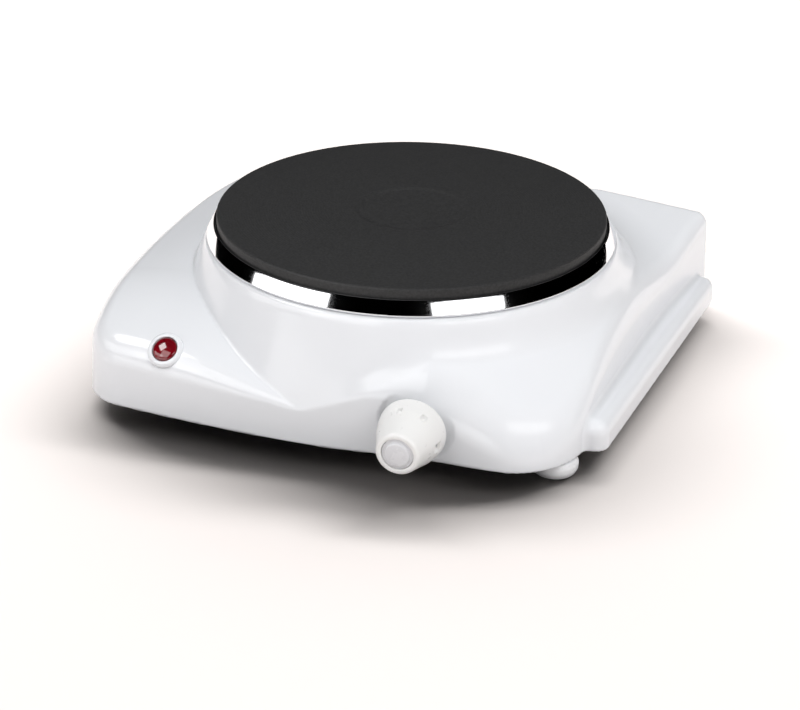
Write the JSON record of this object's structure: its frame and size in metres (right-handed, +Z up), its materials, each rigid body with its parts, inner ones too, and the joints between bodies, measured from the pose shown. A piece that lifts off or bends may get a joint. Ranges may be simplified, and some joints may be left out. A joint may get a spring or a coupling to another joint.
{
  "type": "hot plate burner",
  "caption": "Free-standing single electric hot plate: a cast iron plate in a chrome ring on a white two-lobed housing with a thermostat knob and an indicator lamp.",
  "frame": {"origin": "centre of the footprint's bounding box, on the surface that the feet stand on", "axes": "+X to the user's right, +Y away from the user towards the cord inlet, +Z up out of the plate"},
  "size_m": [0.271, 0.2592, 0.078],
  "materials": {
    "white_plastic": "gloss",
    "black_cast_iron": "matte",
    "chrome": "polished",
    "knob_plastic": "satin",
    "cap_plastic": "satin",
    "foot_plastic": "satin",
    "red_lens": "gloss",
    "black_plastic": "satin",
    "sheet_steel": "satin",
    "zinc_plate": "satin",
    "resistance_wire": "satin",
    "magnesia_compound": "matte",
    "ceramic": "satin",
    "brass": "satin",
    "bimetal": "satin",
    "silver_contact": "polished",
    "bulb_glass": "gloss",
    "resistor_body": "satin",
    "fuse_body": "satin",
    "brown_insulation": "satin",
    "blue_insulation": "satin",
    "green_insulation": "satin",
    "white_insulation": "satin"
  },
  "bodies": {
    "base": {"housing": "white_plastic", "cast_iron_plate": "black_cast_iron", "trim_ring": "chrome", "pilot_lens": "red_lens", "base_plate": "sheet_steel", "heater_coil_inner": "resistance_wire", "heater_coil_outer": "resistance_wire", "coil_compound_inner": "magnesia_compound", "coil_compound_outer": "magnesia_compound", "heater_cover": "sheet_steel", "heat_shield": "sheet_steel", "centre_stud": "zinc_plate", "mounting_bridge": "sheet_steel", "bridge_washer": "zinc_plate", "bridge_nut": "zinc_plate", "spindle_bush": "brass", "thermostat_frame": "sheet_steel", "stack_rivet": "sheet_steel", "ceramic_spacer_1": "ceramic", "ceramic_spacer_2": "ceramic", "ceramic_spacer_3": "ceramic", "ceramic_spacer_4": "ceramic", "fixed_arm": "brass", "fixed_contact": "silver_contact", "lamp_clip": "sheet_steel", "lamp_holder": "black_plastic", "neon_bulb": "bulb_glass", "lamp_resistor": "resistor_body", "terminal_block": "ceramic", "terminal_live": "brass", "terminal_neutral": "brass", "terminal_earth": "brass", "thermal_fuse": "fuse_body", "earth_screw": "zinc_plate", "earth_tag": "brass", "cord_gland": "black_plastic", "cord_clamp": "black_plastic", "clamp_screw_left": "zinc_plate", "clamp_screw_right": "zinc_plate", "foot_front_left": "foot_plastic", "foot_front_right": "foot_plastic", "foot_rear_left": "foot_plastic", "foot_rear_right": "foot_plastic", "foot_screw_front_left": "zinc_plate", "foot_screw_front_right": "zinc_plate", "foot_screw_rear_left": "zinc_plate", "foot_screw_rear_right": "zinc_plate", "wire_live": "brown_insulation", "wire_switched": "brown_insulation", "wire_neutral": "blue_insulation", "wire_earth": "green_insulation", "wire_lamp": "white_insulation"},
    "knob": {"control_knob": "knob_plastic", "knob_cap": "cap_plastic", "thermostat_spindle": "sheet_steel"},
    "pin": {"push_pin": "ceramic"},
    "switch_arm": {"contact_arm": "brass", "moving_contact": "silver_contact"},
    "bimetal": {"bimetal_strip": "bimetal"}
  },
  "joints": [
    {"name": "knob_turn", "type": "hinge", "parent": "base", "child": "knob", "pos_m": [0.037, -0.1014, 0.0252], "axis": [0, -1, 0], "range_deg": [0, 270]},
    {"name": "pin_slide", "type": "slide", "parent": "base", "child": "pin", "axis": [0, 1, 0], "range_m": [0, 0.0006]},
    {"name": "contact_swing", "type": "hinge", "parent": "base", "child": "switch_arm", "pos_m": [0.0162, -0.0806, 0.0252], "axis": [0, 0, 1], "range_deg": [0, 1.65]},
    {"name": "bimetal_bend", "type": "hinge", "parent": "base", "child": "bimetal", "pos_m": [0.0162, -0.0866, 0.0252], "axis": [0, 0, 1], "range_deg": [0, 2], "stiffness_Nm_per_rad": 0.5}
  ],
  "couplings": [
    {"joint": "pin_slide", "follows": "knob_turn", "m_per_rad": 0.000125},
    {"joint": "contact_swing", "follows": "knob_turn", "ratio": 0.006}
  ]
}
